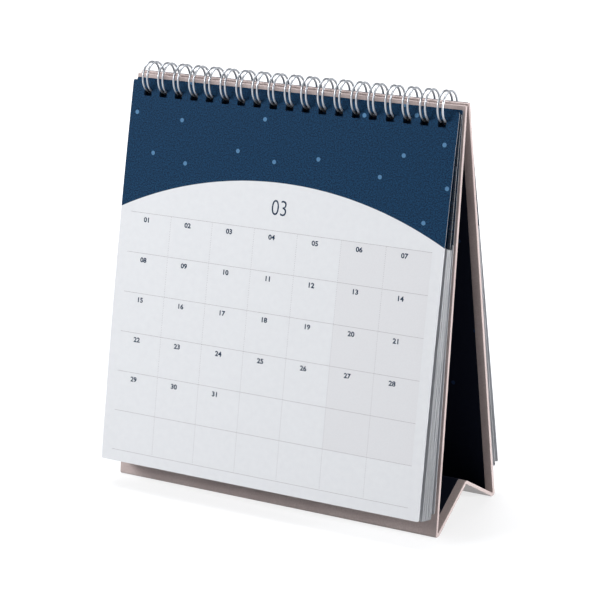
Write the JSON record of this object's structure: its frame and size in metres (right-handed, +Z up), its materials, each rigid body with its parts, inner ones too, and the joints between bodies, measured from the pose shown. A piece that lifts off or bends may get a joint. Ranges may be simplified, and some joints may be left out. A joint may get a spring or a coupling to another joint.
{
  "type": "wire-bound easel desk calendar",
  "caption": "Desk calendar on a taupe wrapped-board easel with a navy lining, a silver twin-loop wire, and monthly leaves with a navy sky over a white grid.",
  "frame": {"origin": "on the table, under the middle of the whole calendar's box", "axes": "X runs along the binding wire, the open page faces -Y, +Z is up"},
  "size_m": [0.17, 0.0794, 0.1962],
  "materials": {
    "cover_paper": "matte wrapping paper, pinkish taupe",
    "lining_paper": "matte navy printed paper",
    "greyboard": "raw greyboard",
    "wire": "silver nylon-coated wire",
    "leaf_card": "uncoated white card",
    "navy_ink": "matte print",
    "pale_blue_ink": "matte print",
    "tint_ink": "matte print",
    "line_ink": "matte print"
  },
  "bodies": {
    "stand": {"stand_cover": "cover_paper", "stand_lining": "lining_paper", "front_greyboard": "greyboard", "base_front_greyboard": "greyboard", "base_back_greyboard": "greyboard", "back_greyboard": "greyboard", "binding_wire": "wire", "month_leaf_04": "leaf_card", "month_leaf_05": "leaf_card", "month_leaf_06": "leaf_card", "month_leaf_07": "leaf_card", "month_leaf_08": "leaf_card", "month_leaf_09": "leaf_card", "month_leaf_10": "leaf_card", "month_leaf_11": "leaf_card", "month_leaf_12": "leaf_card", "cover_leaf": "leaf_card", "month_leaf_01": "leaf_card"},
    "open_page": {"month_leaf_03": "leaf_card", "sky_print": "navy_ink", "dot_print": "pale_blue_ink", "weekend_print": "tint_ink", "grid_print": "line_ink"},
    "turned_page": {"month_leaf_02": "leaf_card"}
  },
  "joints": [
    {"name": "open_page_turn", "type": "hinge", "parent": "stand", "child": "open_page", "pos_m": [0, 0.00215, 0.18875], "axis": [-1, 0, 0], "range_deg": [0, 150]},
    {"name": "turned_page_turn", "type": "hinge", "parent": "stand", "child": "turned_page", "pos_m": [0, 0.00215, 0.18875], "axis": [1, 0, 0], "range_deg": [0, 30]}
  ]
}
